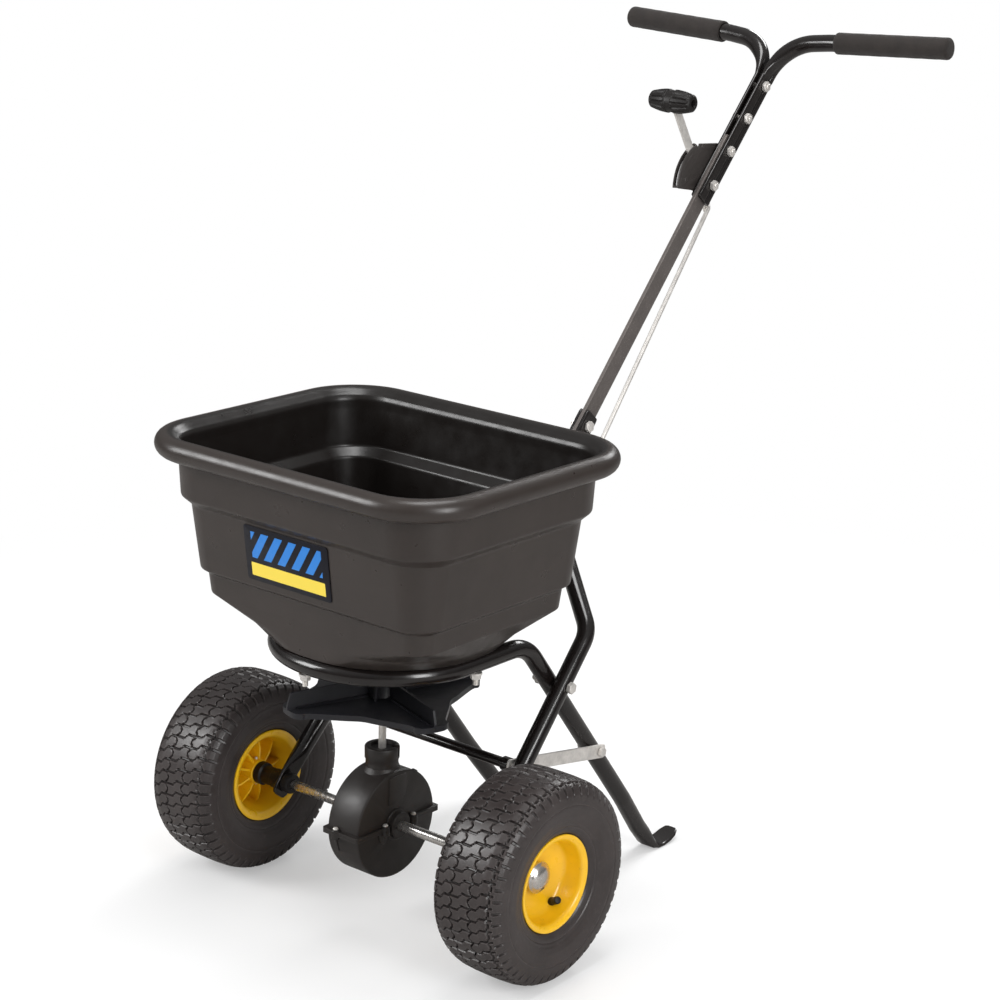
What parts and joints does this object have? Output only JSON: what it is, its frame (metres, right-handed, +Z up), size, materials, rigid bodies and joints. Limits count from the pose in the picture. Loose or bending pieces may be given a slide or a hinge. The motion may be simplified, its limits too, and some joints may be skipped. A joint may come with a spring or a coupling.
{
  "type": "broadcast spreader",
  "caption": "Walk-behind rotary spreader: square hopper on a bent-tube stand, pneumatic wheels, axle-driven gearbox and star impeller, lever-set shut-off gate, bolted post handle.",
  "frame": {"origin": "on the ground, at the centre of the bounding box seen from above", "axes": "+Z up, +Y toward the handle, +X to the right as seen from the front, which is the left hand of the person pushing; right and left in node names mean +X and -X"},
  "size_m": [0.5782, 1.0091, 1.0593],
  "materials": {
    "hopper_plastic": "satin moulded",
    "label_print": "printed sheet",
    "black_tube": "gloss black",
    "grey_post": "satin",
    "foam_grip": "matte foam",
    "yellow_rim": "semi-gloss",
    "tyre_rubber": "matte",
    "zinc_steel": "zinc plated",
    "black_plastic": "moulded",
    "case_plastic": "moulded",
    "gear_plastic": "moulded"
  },
  "bodies": {
    "frame": {"hopper_tub": "hopper_plastic", "label": "label_print", "ring_frame": "black_tube", "side_tube_right": "black_tube", "side_tube_left": "black_tube", "cross_brace": "black_tube", "handle_tube_right": "black_tube", "handle_tube_left": "black_tube", "quadrant": "black_tube", "handle_post": "grey_post", "grip_right": "foam_grip", "grip_left": "foam_grip", "gearbox_screw_1": "zinc_steel", "gearbox_screw_2": "zinc_steel", "gearbox_screw_3": "zinc_steel", "gearbox_screw_4": "zinc_steel", "strap_right": "zinc_steel", "strap_left": "zinc_steel", "brace_bolt_right": "zinc_steel", "brace_bolt_left": "zinc_steel", "strap_bolt_right": "zinc_steel", "strap_bolt_left": "zinc_steel", "crossing_bolt_right": "zinc_steel", "crossing_bolt_left": "zinc_steel", "ring_bolt_right": "zinc_steel", "ring_bolt_left": "zinc_steel", "ring_bolt_front": "zinc_steel", "base_bolt": "zinc_steel", "handle_bolt_1": "zinc_steel", "handle_bolt_2": "zinc_steel", "handle_bolt_3": "zinc_steel", "pivot_bolt": "zinc_steel", "wheel_spacer_right": "black_plastic", "wheel_spacer_left": "black_plastic", "axle_bush_right": "black_plastic", "axle_bush_left": "black_plastic", "neck_bush": "black_plastic", "hopper_base_plate": "black_plastic", "gearbox_upper": "case_plastic", "gearbox_lower": "case_plastic"},
    "axle": {"axle": "zinc_steel", "wheel_pin": "zinc_steel", "rim_left": "yellow_rim", "tyre_left": "tyre_rubber", "hub_cap_left": "zinc_steel", "valve_left": "black_plastic", "drive_gear": "gear_plastic"},
    "free_wheel": {"rim_right": "yellow_rim", "tyre_right": "tyre_rubber", "hub_cap_right": "zinc_steel", "valve_right": "black_plastic"},
    "rotor": {"impeller_shaft": "zinc_steel", "impeller": "black_plastic", "impeller_pin": "zinc_steel", "pinion_gear": "gear_plastic", "agitator": "zinc_steel"},
    "lever": {"rate_lever": "zinc_steel", "knob": "black_plastic"},
    "rod": {"control_rod": "zinc_steel"},
    "gate": {"shutoff_gate": "zinc_steel"}
  },
  "joints": [
    {"name": "axle_spin", "type": "hinge", "parent": "frame", "child": "axle", "pos_m": [0, -0.3045, 0.127], "axis": [1, 0, 0], "continuous": true},
    {"name": "free_wheel_spin", "type": "hinge", "parent": "frame", "child": "free_wheel", "pos_m": [0.2386, -0.3045, 0.127], "axis": [1, 0, 0], "continuous": true},
    {"name": "impeller_spin", "type": "hinge", "parent": "frame", "child": "rotor", "pos_m": [0, -0.3045, 0.293], "axis": [0, 0, 1], "continuous": true},
    {"name": "lever_swing", "type": "hinge", "parent": "frame", "child": "lever", "pos_m": [-0.0131, 0.3266, 0.8509], "axis": [1, 0, 0], "range_deg": [0, 44]},
    {"name": "rod_swing", "type": "hinge", "parent": "lever", "child": "rod", "pos_m": [-0.0131, 0.3441, 0.8183], "axis": [1, 0, 0], "range_deg": [-41.5, 0]},
    {"name": "gate_slide", "type": "slide", "parent": "frame", "child": "gate", "axis": [0, 1, 0], "range_m": [0, 0.0422]}
  ],
  "couplings": [
    {"joint": "impeller_spin", "follows": "axle_spin", "ratio": 4},
    {"joint": "rod_swing", "follows": "lever_swing", "ratio": -0.934},
    {"joint": "gate_slide", "follows": "lever_swing", "m_per_rad": 0.05452}
  ]
}
